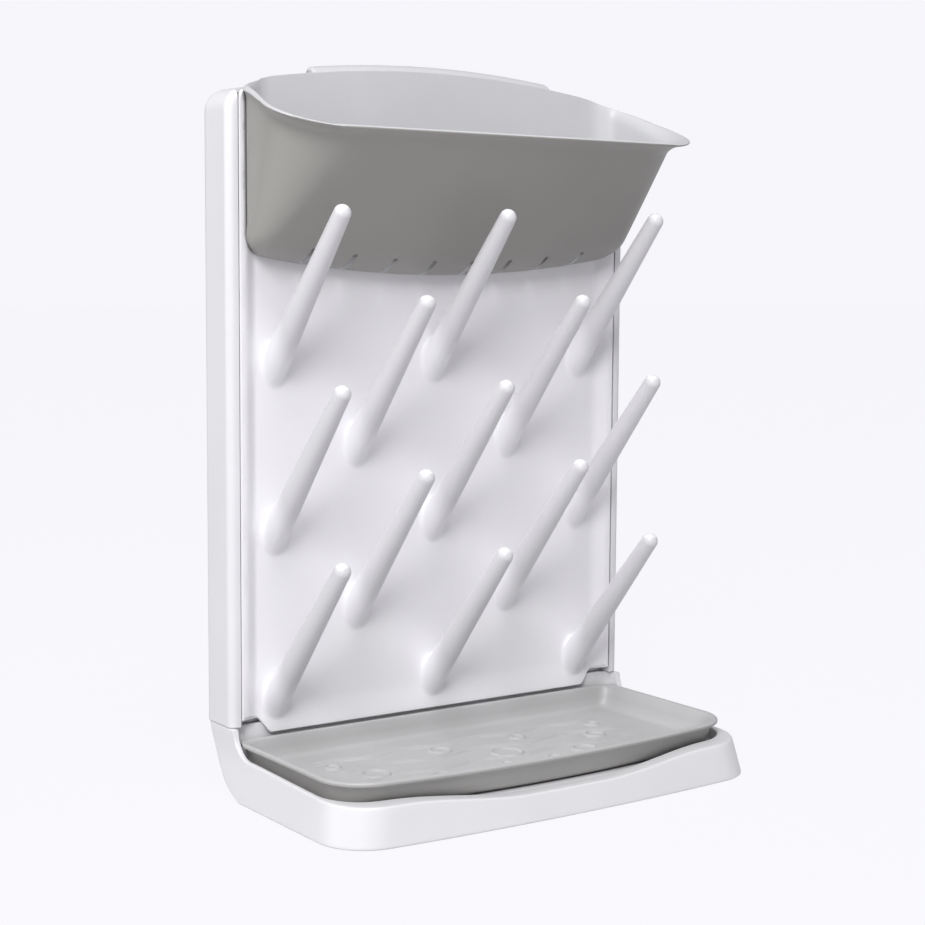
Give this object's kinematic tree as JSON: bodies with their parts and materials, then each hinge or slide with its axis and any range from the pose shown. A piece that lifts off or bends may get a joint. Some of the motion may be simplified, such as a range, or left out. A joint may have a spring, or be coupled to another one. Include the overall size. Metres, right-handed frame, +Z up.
{
  "type": "countertop bottle drying rack",
  "caption": "Upright countertop rack with slanted drying pegs on a tall arched back wall, a small basket hooked on the top edge and a shallow drip tray set in the base.",
  "frame": {"origin": "on the counter, under the middle of the footprint", "axes": "+Z up, -Y towards the front where the pegs point, +X to the right seen from the front"},
  "size_m": [0.2664, 0.1544, 0.384],
  "materials": {
    "white_moulding": "smooth satin injection-moulded white plastic",
    "peg_wall_white": "smooth satin injection-moulded white plastic, slightly softer than the shell",
    "basket_grey": "fine satin warm grey plastic",
    "drip_tray_grey": "fine satin warm grey plastic",
    "foot_rubber": "soft matte rubber"
  },
  "bodies": {
    "base": {"base": "white_moulding", "foot_front_left": "foot_rubber", "foot_front_right": "foot_rubber", "foot_rear_left": "foot_rubber", "foot_rear_right": "foot_rubber"},
    "tower": {"back_housing": "white_moulding"},
    "peg_wall": {"peg_panel": "peg_wall_white"},
    "top_tray": {"top_tray": "basket_grey"},
    "bottom_tray": {"bottom_tray": "drip_tray_grey"}
  },
  "joints": [
    {"name": "tower_lift", "type": "slide", "parent": "base", "child": "tower", "axis": [0, 0, 1], "range_m": [0, 0.06]},
    {"name": "peg_wall_lift", "type": "slide", "parent": "tower", "child": "peg_wall", "axis": [0, -0.7071, 0.7071], "range_m": [0, 0.07]},
    {"name": "top_tray_lift", "type": "slide", "parent": "peg_wall", "child": "top_tray", "axis": [0, 0, 1], "range_m": [0, 0.06]},
    {"name": "bottom_tray_pull", "type": "slide", "parent": "base", "child": "bottom_tray", "axis": [0, -0.6428, 0.766], "range_m": [0, 0.1]}
  ]
}
